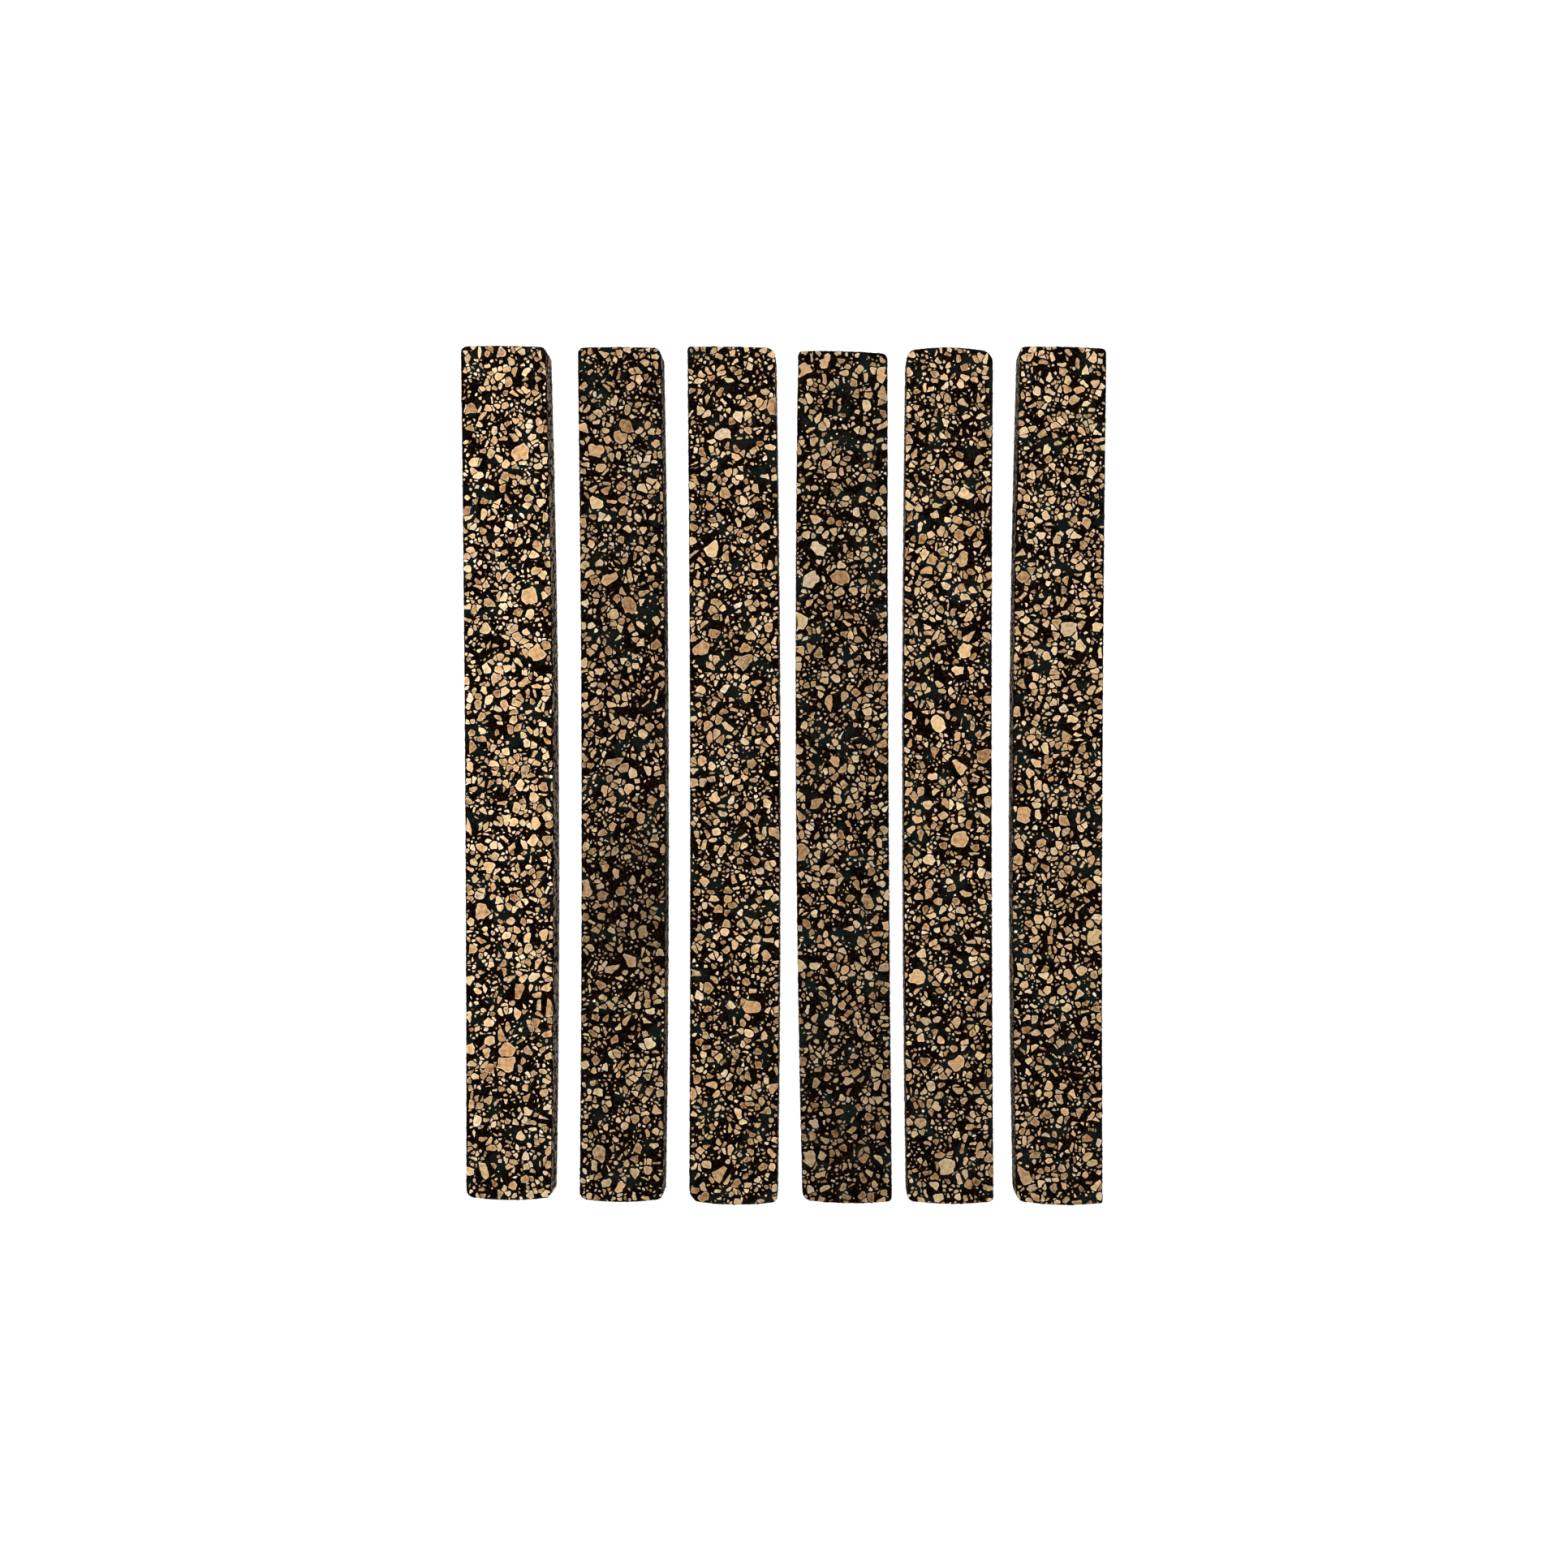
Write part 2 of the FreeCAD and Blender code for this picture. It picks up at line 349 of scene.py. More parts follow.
TONES = (0.24, 0.98)    # darkest and lightest tone of a granule
LARGE_STEADY = 0.35     # how much less the tones of large granules differ
LARGE_TONE = 0.17       # what that gives their tones back
LARGE_TINTED = 0.70     # how much further large granules lean to orange and rust
PAINTED_SIDE_SHADE = 0.50       # painted shade: how much darker the sides are made than the cut faces
SPECK_LIGHT = 1.40      # how much lighter the specks of cork dust are

LARGE_CORNERS = 18      # points around a large granule, a small one and a speck of dust
SMALL_CORNERS = 8
SPECK_CORNERS = 6
CORNER_PLAY = 0.30      # how unevenly those points are spread, in their own spacing
SPECK_SIZES = (0.25, 1.0)   # smallest and largest speck, in the largest one's radius

SHARD_SIDES = 5         # broken sides of a granule, before its neighbours cut into it
SIDE_TURN = 0.5         # how far a broken side is turned off its even place, in radians
SIDE_AWAY = (0.54, 1.06)    # how far a broken side lies off the seed, in the girth
STRETCH = (0.15, 0.80)  # how much longer than wide a granule is broken
GIRTH_JOINTS = 1.5      # joint widths that the girth has beyond the granule's size
GIRTH_REACH = 1.6       # furthest point of an outline, in the girth
FACING_LEAST = 0.08     # least part of a direction that counts as towards a broken side

CUT_ROUNDS = 8          # how often an outline point is pulled in at most
CUT_LEAST = 0.05        # least of its reach that an outline point keeps in one round
NEARLY_NONE = 1.0e-12   # keeps a division from being by nought

RAGGED_SCALE = 2600.0   # how fine and how strong the roughness of an outline is
RAGGED_SHARE = 0.90
LEAST_RADIUS = 0.6      # least radius of a granule, in joint widths
TILT = 0.6              # how much a cut face leans, in its relief

FLOOR_GAP = 0.1 * MM    # the floor lies this far down, under the granules that stand proud

# What each random draw adds to a strip's seed. The last two add one more for each side.
DRAWS = {
    "turn": 1, "size": 2, "bare": 3, "tone": 4, "tint": 5, "tilt": 6,
    "large_corners": 7, "small_corners": 8, "largest": 9,
    "speck_seats": 50, "speck_size": 51, "speck_corners": 52,
    "stretch": 60, "side_turn": 61, "side_away": 71,
}

INPUTS = (
    ("Spacing", "NodeSocketFloat"), ("Largest", "NodeSocketFloat"),
    ("Common", "NodeSocketFloat"), ("Smallest", "NodeSocketFloat"),
    ("Rarity", "NodeSocketFloat"), ("Joint", "NodeSocketFloat"),
    ("Warp", "NodeSocketFloat"), ("Painted Rim", "NodeSocketFloat"),
    ("Relief", "NodeSocketFloat"), ("Depth", "NodeSocketFloat"),
    ("Patch", "NodeSocketFloat"), ("Bare Share", "NodeSocketFloat"),
    ("Large", "NodeSocketFloat"), ("Speck Spacing", "NodeSocketFloat"),
    ("Speck", "NodeSocketFloat"), ("Lightness", "NodeSocketFloat"),
    ("Dim", "NodeSocketFloat"), ("Dim Place", "NodeSocketVector"),
    ("Dim Reach", "NodeSocketFloat"), ("Bare Place", "NodeSocketVector"),
    ("Bare Reach", "NodeSocketFloat"), ("Seed", "NodeSocketInt"),
    ("Material", "NodeSocketMaterial"),
)


class GranuleBench(Bench):
    """The tree that grows granules over a strip's skin."""

    def store(self, geometry, name, value, kind="FLOAT"):
        """Note a value on every point under a name."""
        return self.add("GeometryNodeStoreNamedAttribute", {"data_type": kind, "domain": "POINT"},
                        {"Geometry": geometry, "Name": name, "Value": value})

    def named(self, name, kind="FLOAT"):
        """Read the value noted under a name."""
        return self.add("GeometryNodeInputNamedAttribute", {"data_type": kind},
                        {"Name": name}, "Attribute")

    def chance(self, low, high, seed, identity=None):
        """Draw a number for each point, or one for all points that share an identity."""
        return self.add("FunctionNodeRandomValue", {"data_type": "FLOAT"},
                        {"Min": low, "Max": high, "ID": identity, "Seed": seed}, "Value")

    def chance_vector(self, low, high, seed):
        """Draw a vector for each point."""
        return self.add("FunctionNodeRandomValue", {"data_type": "FLOAT_VECTOR"},
                        {"Min": low, "Max": high, "Seed": seed}, "Value")

    def position(self):
        return self.add("GeometryNodeInputPosition")

    def index(self):
        return self.add("GeometryNodeInputIndex")

    def noise(self, place, scale, detail=2.0):
        return self.add("ShaderNodeTexNoise", {}, {"Vector": place, "Scale": scale,
                                                   "Detail": detail}, 0)

    def warp(self, place, size):
        """Shift a place by smooth noise, so that what is even around it gets lopsided."""
        noise = self.add("ShaderNodeTexNoise", {}, {
            "Vector": place, "Scale": 1.0 / size, "Detail": 1.0}, "Color")
        return place + (noise - (0.5, 0.5, 0.5)) * (size * WARP_SHARE)

    def nearest(self, cloud, place):
        """Give the number of the cloud's point that is nearest to a place."""
        return self.add("GeometryNodeSampleNearest", {"domain": "POINT"},
                        {"Geometry": cloud, "Sample Position": place})

    def sample(self, cloud, value, index, kind="FLOAT_VECTOR"):
        """Read a value at one point of the cloud."""
        return self.add("GeometryNodeSampleIndex", {"data_type": kind, "domain": "POINT"},
                        {"Geometry": cloud, "Value": value, "Index": index})

    def keep(self, geometry, selection):
        """Drop the points that aren't selected."""
        return self.add("GeometryNodeSeparateGeometry", {"domain": "POINT"},
                        {"Geometry": geometry, "Selection": selection}, "Selection")

    def join(self, *pieces):
        node = self.node("GeometryNodeJoinGeometry")
        for piece in pieces:
            self.tree.links.new(piece.socket, node.inputs[0])
        return self.wire(node)

    def on_skin(self, skin, place):
        """Give the place on the skin that is nearest to a place."""
        return self.add("GeometryNodeProximity", {"target_element": "FACES"},
                        {"Geometry": skin, "Sample Position": place}, "Position")


def open_tree():
    """Start the granules' tree with its named inputs."""
    tree = bpy.data.node_groups.new("cork_granules", "GeometryNodeTree")
    tree.is_modifier = True
    tree.interface.new_socket("Skin", in_out="INPUT", socket_type="NodeSocketGeometry")
    for name, kind in INPUTS:
        tree.interface.new_socket(name, in_out="INPUT", socket_type=kind)
    tree.interface.new_socket("Granules", in_out="OUTPUT", socket_type="NodeSocketGeometry")
    return tree


def scatter(bench, skin, spacing, seed):
    """Scatter seeds over the cut faces, and note where each one sits and faces."""
    upright = abs(bench.add("GeometryNodeInputNormal").part("Z"))
    cut_face = (upright > CUT_FACE) + (upright < CUT_SIDE)
    node = bench.node("GeometryNodeDistributePointsOnFaces", {"distribute_method": "POISSON"},
                      {"Mesh": skin, "Selection": cut_face, "Distance Min": spacing,
                       "Density Max": SEED_DENSITY, "Density Factor": 1.0, "Seed": seed})
    points = bench.wire(node, "Points")
    points = bench.store(points, "facing", bench.wire(node, "Normal"), "FLOAT_VECTOR")
    angle = bench.chance(0.0, math.tau, seed + DRAWS["turn"])
    spin = bench.add("FunctionNodeAxisAngleToRotation", {},
                     {"Axis": (0.0, 0.0, 1.0), "Angle": angle})
    turned = bench.add("FunctionNodeRotateRotation", {"rotation_space": "LOCAL"},
                       {"Rotation": bench.wire(node, "Rotation"), "Rotate By": spin})
    points = bench.store(points, "turn", turned, "QUATERNION")
    return bench.store(points, "seat", bench.position(), "FLOAT_VECTOR")


def size_seeds(bench, points, inputs):
    """Give each seed its granule's size, its lift off the skin and its own number.

    The smaller a granule is, the higher its seed is lifted. The nearest lifted seed to a
    place on the skin is the granule that owns the place, so a large granule owns more than
    its share and may swallow a small one."""
    draw = bench.chance(0.0, 1.0, inputs["Seed"] + DRAWS["size"]) ** inputs["Rarity"]
    common = inputs["Smallest"] + (inputs["Common"] - inputs["Smallest"]) * draw
    chosen = bench.chance(0.0, 1.0, inputs["Seed"] + DRAWS["largest"]) < LARGEST_SHARE
    size = common + (inputs["Largest"] - common) * chosen
    points = bench.store(points, "size", size)
    lift = (inputs["Largest"] * inputs["Largest"] - size * size).most(0.0).root()
    points = bench.store(points, "lift", lift)
    return bench.store(points, "own", bench.index(), "INT")


def closeness(bench, middle, reach):
    """Say how near a seed is to a place: one right at it, falling to nought at its reach."""
    away = bench.named("seat", "FLOAT_VECTOR") - middle
    return (1.0 - away.dot(away) / (reach * reach)).most(0.0)


def mark_bare(bench, points, inputs):
    """Mark the seeds whose place is left as bare rubber."""
    patchy = bench.noise(bench.named("seat", "FLOAT_VECTOR"), 1.0 / inputs["Patch"], 1.0)
    draw = bench.chance(0.0, 1.0, inputs["Seed"] + DRAWS["bare"])
    large = bench.named("size") / inputs["Common"]
    score = (patchy - 0.5) * PATCH_WEIGHT + draw * CHANCE_WEIGHT + large * SIZE_WEIGHT
    barer = closeness(bench, inputs["Bare Place"], inputs["Bare Reach"]) * BARE_GAIN
    share = inputs["Bare Share"] + barer
    return bench.store(points, "bare", score < share)


def lift_seeds(bench, points, inputs):
    """Give the cloud of lifted seeds, in the warped space where granules meet."""
    seat, facing = bench.named("seat", "FLOAT_VECTOR"), bench.named("facing", "FLOAT_VECTOR")
    lifted = bench.warp(seat, inputs["Warp"]) + facing * bench.named("lift")
    return bench.add("GeometryNodeSetPosition", {}, {"Geometry": points, "Position": lifted})


def own_the_place(bench, points, cloud, inputs):
    """Keep the seeds that own the place they sit on: only their granules show."""
    owner = bench.nearest(cloud, bench.warp(bench.named("seat", "FLOAT_VECTOR"), inputs["Warp"]))
    difference = abs(owner - bench.named("own", "INT"))
    return bench.keep(points, difference < 0.5)


def colour_seeds(bench, points, inputs):
    """Draw each granule's own tones and the tilt of its cut face."""
    seed = inputs["Seed"]
    large = (bench.named("size") / inputs["Common"]).least(1.0)
    tone = bench.chance(*TONES, seed + DRAWS["tone"])
    tone = tone * (1.0 - large * LARGE_STEADY) + large * LARGE_TONE
    points = bench.store(points, "tone", tone)
    tint = bench.chance(0.0, 1.0, seed + DRAWS["tint"]) ** (1.0 - large * LARGE_TINTED)
    points = bench.store(points, "tint", tint)
    # Darker around the dimmed place; where that lies at a bottom end, this is painted shade.
    dimmed = closeness(bench, inputs["Dim Place"], inputs["Dim Reach"])
    upright = abs(bench.named("facing", "FLOAT_VECTOR").part("Z"))
    light = inputs["Lightness"] * (1.0 - inputs["Dim"] * dimmed)
    # Painted shade: granules on the sides are made darker than on the cut faces.
    light = light * (1.0 - (1.0 - upright) * PAINTED_SIDE_SHADE)
    points = bench.store(points, "lightness", light)
    tilt = bench.chance_vector((-1.0, -1.0, -1.0), (1.0, 1.0, 1.0), seed + DRAWS["tilt"])
    return bench.store(points, "tilt", tilt, "FLOAT_VECTOR")


def blanks(bench, points, corners, seed):
    """Set a closed cone of unit radius, tip down, on each seed, to be cut to a granule.

    Note which points are on top, and each point's place along the skin from the seed: it
    is nought at the middle of a blank and one at its outline, at uneven angles."""
    blank = bench.add("GeometryNodeMeshCone", {"fill_type": "TRIANGLE_FAN"},
                      {"Vertices": corners, "Side Segments": 1, "Radius Top": 1.0,
                       "Radius Bottom": 0.0, "Depth": 1.0}, "Mesh")
    placed = bench.add("GeometryNodeInstanceOnPoints", {}, {
        "Points": points, "Instance": blank,
        "Rotation": bench.named("turn", "QUATERNION")})
    chips = bench.add("GeometryNodeRealizeInstances", {}, {"Geometry": placed})
    facing = bench.named("facing", "FLOAT_VECTOR")
    offset = bench.position() - bench.named("seat", "FLOAT_VECTOR")
    height = offset.dot(facing)
    uneven = CORNER_PLAY * math.tau / corners
    swing = bench.add("FunctionNodeAxisAngleToRotation", {}, {
        "Axis": facing, "Angle": bench.chance(-uneven, uneven, seed)})
    along = bench.add("FunctionNodeRotateVector", {}, {
        "Vector": offset - facing * height, "Rotation": swing})
    chips = bench.store(chips, "top", height > 0.5)
    return bench.store(chips, "along", along, "FLOAT_VECTOR")


def break_outline(bench, chips, inputs):
    """Break the blanks to angular, more or less long shards, each side at its own place."""
    own, size = bench.named("own", "INT"), bench.named("size")
    along, seed = bench.named("along", "FLOAT_VECTOR"), inputs["Seed"]
    stretch = bench.chance(*STRETCH, seed + DRAWS["stretch"], own)
    girth = size + inputs["Joint"] * GIRTH_JOINTS
    reach = girth * GIRTH_REACH
    for side in range(SHARD_SIDES):
        turn = bench.chance(-SIDE_TURN, SIDE_TURN, seed + (DRAWS["side_turn"] + side), own)
        angle = math.tau / SHARD_SIDES * side + turn
        local = bench.add("ShaderNodeCombineXYZ", {}, (angle.cosine(), angle.sine(), 0.0))
        towards = bench.add("FunctionNodeRotateVector", {}, {
            "Vector": local, "Rotation": bench.named("turn", "QUATERNION")})
        away = girth * bench.chance(*SIDE_AWAY, seed + (DRAWS["side_away"] + side), own)
        away = away * (1.0 + stretch * (angle * 2.0).cosine())
        reach = reach.least(away / along.dot(towards).most(FACING_LEAST))
    return bench.store(chips, "reach", reach)


def cut_to_cells(bench, chips, cloud, inputs):
    """Pull every outline point in until its own seed is the one that owns the place."""
    entry = bench.node("GeometryNodeRepeatInput")
    leave = bench.node("GeometryNodeRepeatOutput")
    entry.pair_with_output(leave)
    bench.feed(entry.inputs["Iterations"], CUT_ROUNDS)
    bench.feed(entry.inputs["Geometry"], chips)

    seat, along = bench.named("seat", "FLOAT_VECTOR"), bench.named("along", "FLOAT_VECTOR")
    own, reach = bench.named("own", "INT"), bench.named("reach")
    inside = bench.warp(seat, inputs["Warp"])
    outside = bench.warp(seat + along * reach, inputs["Warp"])
    owner = bench.nearest(cloud, outside)
    home = bench.sample(cloud, bench.position(), own)
    rival = bench.sample(cloud, bench.position(), owner)

    def excess(place):
        return (place - home).dot(place - home) - (place - rival).dot(place - rival)

    near, far = excess(inside), excess(outside)
    share = (near / (near - far).least(-NEARLY_NONE)).most(CUT_LEAST).least(1.0)
    foreign = abs(owner - own) > 0.5
    pulled = reach * (1.0 - foreign * (1.0 - share))
    inner = bench.store(bench.wire(entry, "Geometry"), "reach", pulled)
    bench.feed(leave.inputs["Geometry"], inner)
    return bench.wire(leave, "Geometry")


def seat_chips(bench, chips, skin, inputs):
    """Leave the rubber joint, roughen the outline, and lay the chips on the skin."""
    seat, along = bench.named("seat", "FLOAT_VECTOR"), bench.named("along", "FLOAT_VECTOR")
    facing, top = bench.named("facing", "FLOAT_VECTOR"), bench.named("top")
    edge = seat + along * bench.named("reach")
    ragged = 1.0 + (bench.noise(edge, RAGGED_SCALE) - 0.5) * RAGGED_SHARE
    radius = (bench.named("reach") - inputs["Joint"]) * ragged
    radius = radius.most(inputs["Joint"] * LEAST_RADIUS)
    rim = along.dot(along)
    place = bench.on_skin(skin, seat + along * radius)
    slope = 1.0 + bench.named("tilt", "FLOAT_VECTOR").dot(along) * TILT
    height = top * slope * inputs["Relief"] - (1.0 - top) * inputs["Depth"]
    # The edge number, one at the outline, drives the painted rim highlight and the painted edge
    # shade.
    chips = bench.store(chips, "edge", 1.0 - (1.0 - rim) * bench.named("reach") / inputs["Painted Rim"])
    return bench.add("GeometryNodeSetPosition", {},
                     {"Geometry": chips, "Position": place + facing * height})


def grow_specks(bench, skin, bare_cloud, inputs):
    """Scatter specks of cork dust over the bare rubber."""
    seed = inputs["Seed"]
    points = scatter(bench, skin, inputs["Speck Spacing"], seed + DRAWS["speck_seats"])
    seat = bench.named("seat", "FLOAT_VECTOR")
    owner = bench.nearest(bare_cloud, seat)
    on_bare = bench.sample(bare_cloud, bench.named("bare"), owner, "FLOAT")
    points = bench.keep(points, on_bare > 0.5)
    size = inputs["Speck"] * bench.chance(*SPECK_SIZES, seed + DRAWS["speck_size"])
    points = bench.store(points, "reach", size)
    points = bench.store(points, "size", size)
    points = colour_seeds(bench, points, inputs)
    points = bench.store(points, "lightness", bench.named("lightness") * SPECK_LIGHT)
    specks = blanks(bench, points, SPECK_CORNERS, seed + DRAWS["speck_corners"])
    return seat_chips(bench, specks, skin, inputs)


def granule_tree():
    """Build the tree that grows cut granules and specks over a strip's skin."""
    tree = open_tree()
    bench = GranuleBench(tree)
    entry = bench.node("NodeGroupInput")
    inputs = {name: bench.wire(entry, name) for name, _ in INPUTS}
    skin = bench.wire(entry, "Skin")

    points = scatter(bench, skin, inputs["Spacing"], inputs["Seed"])
    points = size_seeds(bench, points, inputs)
    points = mark_bare(bench, points, inputs)
    cloud = lift_seeds(bench, points, inputs)

    shown = own_the_place(bench, points, cloud, inputs)
    shown = bench.keep(shown, bench.named("bare") < 0.5)
    shown = colour_seeds(bench, shown, inputs)
    large = bench.named("size") > inputs["Large"]
    chips = bench.join(
        blanks(bench, bench.keep(shown, large), LARGE_CORNERS,
               inputs["Seed"] + DRAWS["large_corners"]),
        blanks(bench, bench.keep(shown, 1.0 - large), SMALL_CORNERS,
               inputs["Seed"] + DRAWS["small_corners"]))
    chips = break_outline(bench, chips, inputs)
    chips = cut_to_cells(bench, chips, cloud, inputs)
    chips = seat_chips(bench, chips, skin, inputs)
    specks = grow_specks(bench, skin, cloud, inputs)

    whole = bench.add("GeometryNodeSetShadeSmooth", {"domain": "FACE"},
                      {"Geometry": bench.join(chips, specks), "Shade Smooth": False})
    whole = bench.add("GeometryNodeRealizeInstances", {}, {"Geometry": whole})
    whole = bench.add("GeometryNodeSetMaterial", {},
                      {"Geometry": whole, "Material": inputs["Material"]})
    bench.node("NodeGroupOutput", {}, (whole,))
    return tree


# ------------------------------------------------------------------- materials

MOTTLE_SIZE = 0.55 * MM     # size of the cork's mottling and of its finest grain
GRAIN_SIZE = 0.16 * MM
MOTTLE_TONE = 1.0           # how much the mottling, the grain and the painted highlight on the rim change a tone
GRAIN_TONE = 0.30
RIM_HIGHLIGHT_TONE = 0.34
TONE_DROP = 0.10            # what the tone loses for them
RIM_HIGHLIGHT_WASH = 0.85            # how much of its tint the cork loses under the painted highlight on its rim
EDGE_SHADE_FROM = 0.76           # where the painted shade at the edge begins, from a granule's middle
# Colour of the painted shade at a granule's edge.
EDGE_SHADE = (0.34, 0.20, 0.12)
CORK_BUMP = 0.03 * MM

DUST_SIZE = 0.32 * MM       # size of the patches of cork dust and of the rubber's grain
RUBBER_GRAIN = 0.10 * MM
DUST_FROM = 0.52            # noise from which there is dust, and how sharply it sets in
DUST_EDGE = 5.0
COOL_TO = 0.47              # noise up to which the rubber is cool, and how sharply it ends
COOL_EDGE = 8.0
RUBBER_BUMP = 0.05 * MM

ROUGHNESS = 0.78            # of both, before the grain
GRAIN_ROUGHNESS = 0.2       # how much the grain changes it


def new_material(name):
    """Start a material: its bench and its principled shader."""
    material = bpy.data.materials.new(name)
    material.use_nodes = True
    bench = Bench(material.node_tree)
    shader = material.node_tree.nodes["Principled BSDF"]
    return material, bench, shader


def object_place(bench):
    """Give the place on the piece, in metres."""
    return bench.add("ShaderNodeTexCoord", {}, (), "Object")


def noise_at(bench, place, size, detail=2.0, roughness=0.5):
    """Give even noise whose features are about as large as size."""
    return bench.add("ShaderNodeTexNoise", {}, {
        "Vector": place, "Scale": 1.0 / size, "Detail": detail, "Roughness": roughness}, 0)


def bump(bench, shader, height, distance):
    """Raise the surface by a height pattern."""
    normal = bench.add("ShaderNodeBump", {}, {
        "Strength": 1.0, "Distance": distance, "Height": height}, "Normal")
    bench.feed(shader.inputs["Normal"], normal)


def attribute(bench, name):
    """Read a number that the granules' tree stored on the piece."""
    return bench.add("ShaderNodeAttribute", {"attribute_name": name}, (), "Fac")


def cork_material(finish):
    """Cut cork: each granule has its own tone and tint, mottled inside, paler and less
    tinted towards its rim, a painted highlight, and darker at its edge, a painted shade."""
    material, bench, shader = new_material("cut_cork")
    place = object_place(bench)
    tone, tint = attribute(bench, "tone"), attribute(bench, "tint")
    mottle = noise_at(bench, place, MOTTLE_SIZE, 2.0, 0.6)
    grain = noise_at(bench, place, GRAIN_SIZE, 1.0)
    edge = attribute(bench, "edge")
    rim_highlight = edge.most(0.0).least(1.0)
    depth = tone + rim_highlight * RIM_HIGHLIGHT_TONE - TONE_DROP
    depth = depth + (mottle - 0.5) * MOTTLE_TONE + (grain - 0.5) * GRAIN_TONE
    base = bench.ramp(depth, ((0.02, finish.bark), (0.20, finish.brown), (0.46, finish.tan),
                              (0.74, finish.pale), (0.97, finish.cream)))
    tinted = bench.ramp(tint, ((0.0, finish.pinkish), (0.28, finish.straw),
                               (0.55, finish.golden), (0.80, finish.orange),
                               (1.0, finish.rust)))
    tinted = bench.mix(rim_highlight * RIM_HIGHLIGHT_WASH, tinted, (1.0, 1.0, 1.0, 1.0))
    colour = bench.mix(1.0, base, tinted, "MULTIPLY")
    # Painted shade darkens each granule towards its edge.
    rim = bench.ramp(edge, ((EDGE_SHADE_FROM, (1.0, 1.0, 1.0)), (1.0, EDGE_SHADE)))
    colour = bench.mix(1.0, colour, rim, "MULTIPLY")
    # The lightness multiplies the colour; it carries the painted shade of the sides and of the
    # bottom ends.
    light = attribute(bench, "lightness")
    shade = bench.add("ShaderNodeCombineXYZ", {}, (light, light, light))
    colour = bench.mix(1.0, colour, shade, "MULTIPLY")
    bench.feed(shader.inputs["Base Color"], colour)
    bench.feed(shader.inputs["Roughness"], ROUGHNESS - grain * GRAIN_ROUGHNESS)
    shader.inputs["Specular IOR Level"].default_value = 0.15
    bump(bench, shader, mottle + grain * 0.6, CORK_BUMP)
    return material


def rubber_material(finish, patch):
    """Black rubber with cork dust in it, cool where it is bare in patches."""
    material, bench, shader = new_material("rubber_binder")
    place = object_place(bench)
    patches = noise_at(bench, place, patch, 1.0)
    dust = noise_at(bench, place, DUST_SIZE, 3.0, 0.65)
    fine = noise_at(bench, place, RUBBER_GRAIN, 1.0)
    bare = ((COOL_TO - patches) * COOL_EDGE).most(0.0).least(1.0)
    dusty = ((dust - DUST_FROM) * DUST_EDGE).most(0.0).least(1.0)
    colour = bench.mix(bare, rgba(finish.rubber), rgba(finish.rubber_cool))
    colour = bench.mix(dusty, colour, rgba(finish.rubber_warm))
    bench.feed(shader.inputs["Base Color"], colour)
    bench.feed(shader.inputs["Roughness"], ROUGHNESS + fine * GRAIN_ROUGHNESS)
    shader.inputs["Specular IOR Level"].default_value = 0.008
    bump(bench, shader, dust + fine * 0.5, RUBBER_BUMP)
    return material


def floor_material(glow):
    """A plain pale floor that is nearly free of shadows."""
    material, _, shader = new_material("pale_floor")
    shader.inputs["Base Color"].default_value = (0.42, 0.42, 0.42, 1.0)
    shader.inputs["Roughness"].default_value = 0.9
    shader.inputs["Specular IOR Level"].default_value = 0.0
    shader.inputs["Emission Color"].default_value = (1.0, 1.0, 1.0, 1.0)
    shader.inputs["Emission Strength"].default_value = glow
    return material


# ------------------------------------------------------------------- operators

def settle_modifier(source, name):
    """Turn an object's evaluated geometry into a plain mesh object, and drop the source."""
    graph = bpy.context.evaluated_depsgraph_get()
    mesh = bpy.data.meshes.new_from_object(source.evaluated_get(graph))
    bpy.data.objects.remove(source)
    while mesh.materials and mesh.materials[0] is None:
        mesh.materials.pop(index=0)
    piece = bpy.data.objects.new(name, mesh)
    mesh.name = name
    bpy.context.scene.collection.objects.link(piece)
    return piece


def set_modifier_inputs(modifier, values):
    """Set a tree's inputs by the identifiers of their sockets."""
    for item in modifier.node_group.interface.items_tree:
        if item.item_type == "SOCKET" and item.in_out == "INPUT" and item.name in values:
            modifier[item.identifier] = values[item.name]


def top_place(node, place):
    """Give a place on a strip's top face."""
    x, y = place
    return (x * MM, y * MM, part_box(node)[1].z)


def keep_attributes(mesh, names):
    """Drop the working attributes that the finished piece doesn't need."""
    for name in [item.name for item in mesh.attributes]:
        item = mesh.attributes.get(name)
        if item is not None and not item.is_required and name not in names:
            mesh.attributes.remove(item)


class STRIPS_OT_dress_rubber(bpy.types.Operator):
    """Give the strips their rubber finish"""

    bl_idname = "strips.dress_rubber"
    bl_label = "Dress the rubber"

    def execute(self, context):
        rubber = rubber_material(context.scene.strip_finish, context.scene.strip_granules.patch)
        for node in STRIPS:
            mesh = frame["nodes"][node].data
            if not mesh.materials:
                raise RuntimeError("%s has no material slot" % node)
            for slot in range(len(mesh.materials)):
                mesh.materials[slot] = rubber
        return {"FINISHED"}


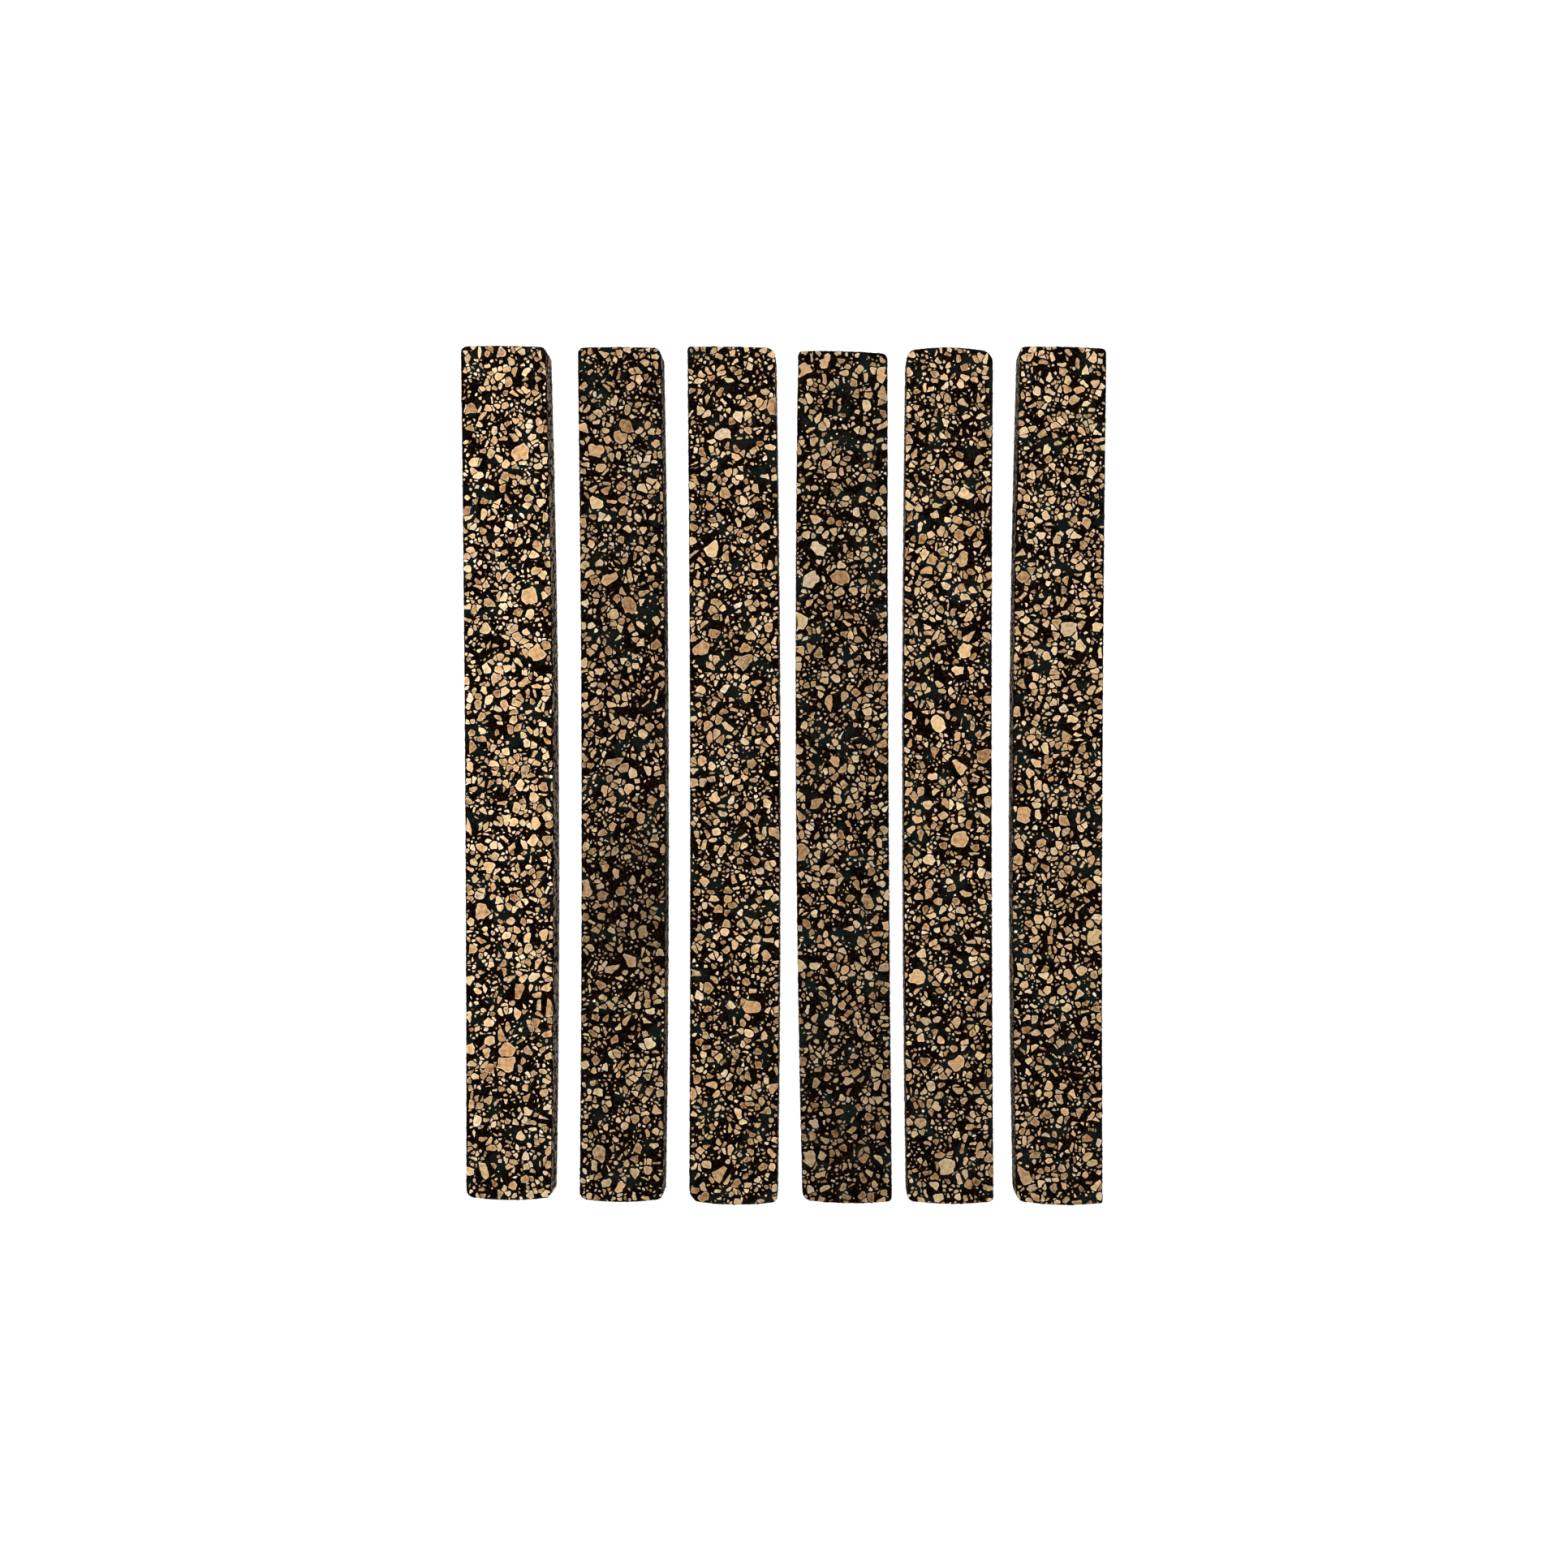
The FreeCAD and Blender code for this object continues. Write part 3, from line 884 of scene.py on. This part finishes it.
class STRIPS_OT_grow_granules(bpy.types.Operator):
    """Grow the cut cork granules over every face of the strips"""

    bl_idname = "strips.grow_granules"
    bl_label = "Grow the granules"

    def execute(self, context):
        sizes = context.scene.strip_granules
        cork = cork_material(context.scene.strip_finish)
        tree = granule_tree()
        for node in STRIPS:
            character = STRIP_CHARACTER[node]
            skin = bpy.data.objects.new(node + "_skin", frame["nodes"][node].data.copy())
            context.scene.collection.objects.link(skin)
            modifier = skin.modifiers.new("granules", "NODES")
            modifier.node_group = tree
            set_modifier_inputs(modifier, {
                "Spacing": sizes.spacing, "Largest": sizes.largest, "Common": sizes.common,
                "Smallest": sizes.smallest, "Rarity": sizes.rarity, "Large": sizes.large,
                "Warp": sizes.warp, "Painted Rim": sizes.painted_rim, "Relief": sizes.relief,
                "Depth": sizes.depth, "Patch": sizes.patch,
                "Speck Spacing": sizes.speck_spacing, "Speck": sizes.speck,
                "Joint": sizes.joint * character["joint"],
                "Bare Share": character["bare_share"],
                "Bare Place": top_place(node, character["bare_place"]),
                "Bare Reach": character["bare_reach"] * MM,
                "Lightness": character["lightness"], "Dim": character["dim"],
                "Dim Place": top_place(node, character["dim_place"]),
                "Dim Reach": character["dim_reach"] * MM,
                "Seed": character["seed"], "Material": cork})
            piece = settle_modifier(skin, node + "_granules")
            if not piece.data.polygons:
                raise RuntimeError("no granules grew on %s" % node)
            keep_attributes(piece.data, ("tone", "tint", "edge", "lightness", "sharp_face"))
            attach(piece, BODY_OF[node])
        return {"FINISHED"}


LAMP_PLACE = (-0.02, 0.42, 0.50)    # beyond the top ends, high over the row
LAMP_SIZE = 0.5


class STRIPS_OT_set_stage(bpy.types.Operator):
    """Lay the pale floor and set the lights and the camera"""

    bl_idname = "strips.set_stage"
    bl_label = "Set the stage"

    def execute(self, context):
        stage = context.scene.strip_stage
        bpy.ops.mesh.primitive_plane_add(size=stage.floor_size, location=(0.0, 0.0, -FLOOR_GAP))
        floor = context.object
        floor.name = "floor"
        floor.data.materials.append(floor_material(stage.floor_glow))
        floor.visible_diffuse = False

        world = bpy.data.worlds.new("even_light")
        world.use_nodes = True
        background = world.node_tree.nodes["Background"]
        background.inputs["Color"].default_value = (1.0, 1.0, 1.0, 1.0)
        background.inputs["Strength"].default_value = stage.sky
        context.scene.world = world

        key = bpy.data.lights.new("key_light", "AREA")
        key.shape = "DISK"
        key.size = LAMP_SIZE
        key.energy = stage.key_power
        lamp = bpy.data.objects.new("key_light", key)
        lamp.location = LAMP_PLACE
        lamp.rotation_euler = (-lamp.location).to_track_quat("-Z", "Y").to_euler()
        context.scene.collection.objects.link(lamp)

        top = max(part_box(node)[1].z for node in STRIPS)
        lens = bpy.data.cameras.new("camera")
        distance = stage.camera_height - top
        lens.lens = lens.sensor_width * distance / stage.view_width
        lens.shift_x = -stage.camera_side / stage.view_width
        camera = bpy.data.objects.new("camera", lens)
        camera.location = (stage.camera_side, -stage.view_low, stage.camera_height)
        context.scene.collection.objects.link(camera)
        context.scene.camera = camera
        context.scene.view_settings.view_transform = "Standard"
        return {"FINISHED"}


class STRIPS_PT_panel(bpy.types.Panel):
    """Lists the steps and their sizes in the sidebar"""

    bl_idname = "STRIPS_PT_panel"
    bl_label = "Cork rubber strips"
    bl_space_type = "VIEW_3D"
    bl_region_type = "UI"
    bl_category = "Strips"

    def draw(self, context):
        for operator in OPERATORS:
            self.layout.operator(operator.bl_idname)
        for name in SETTINGS:
            settings = getattr(context.scene, name)
            column = self.layout.column()
            for key in settings.__annotations__:
                column.prop(settings, key)


OPERATORS = (STRIPS_OT_dress_rubber, STRIPS_OT_grow_granules, STRIPS_OT_set_stage)
SETTINGS = {
    "strip_granules": GranuleSettings,
    "strip_finish": FinishSettings,
    "strip_stage": StageSettings,
}


def register():
    """Register the settings, the operators and the panel."""
    for name, group in SETTINGS.items():
        bpy.utils.register_class(group)
        setattr(bpy.types.Scene, name, bpy.props.PointerProperty(type=group))
    for item in (*OPERATORS, STRIPS_PT_panel):
        bpy.utils.register_class(item)


def unregister():
    """Take them all away again."""
    for item in (STRIPS_PT_panel, *reversed(OPERATORS)):
        bpy.utils.unregister_class(item)
    for name, group in reversed(SETTINGS.items()):
        delattr(bpy.types.Scene, name)
        bpy.utils.unregister_class(group)


def main():
    """Register the classes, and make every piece."""
    register()
    bpy.ops.strips.dress_rubber()
    bpy.ops.strips.grow_granules()
    bpy.ops.strips.set_stage()


if __name__ == "__main__":
    main()
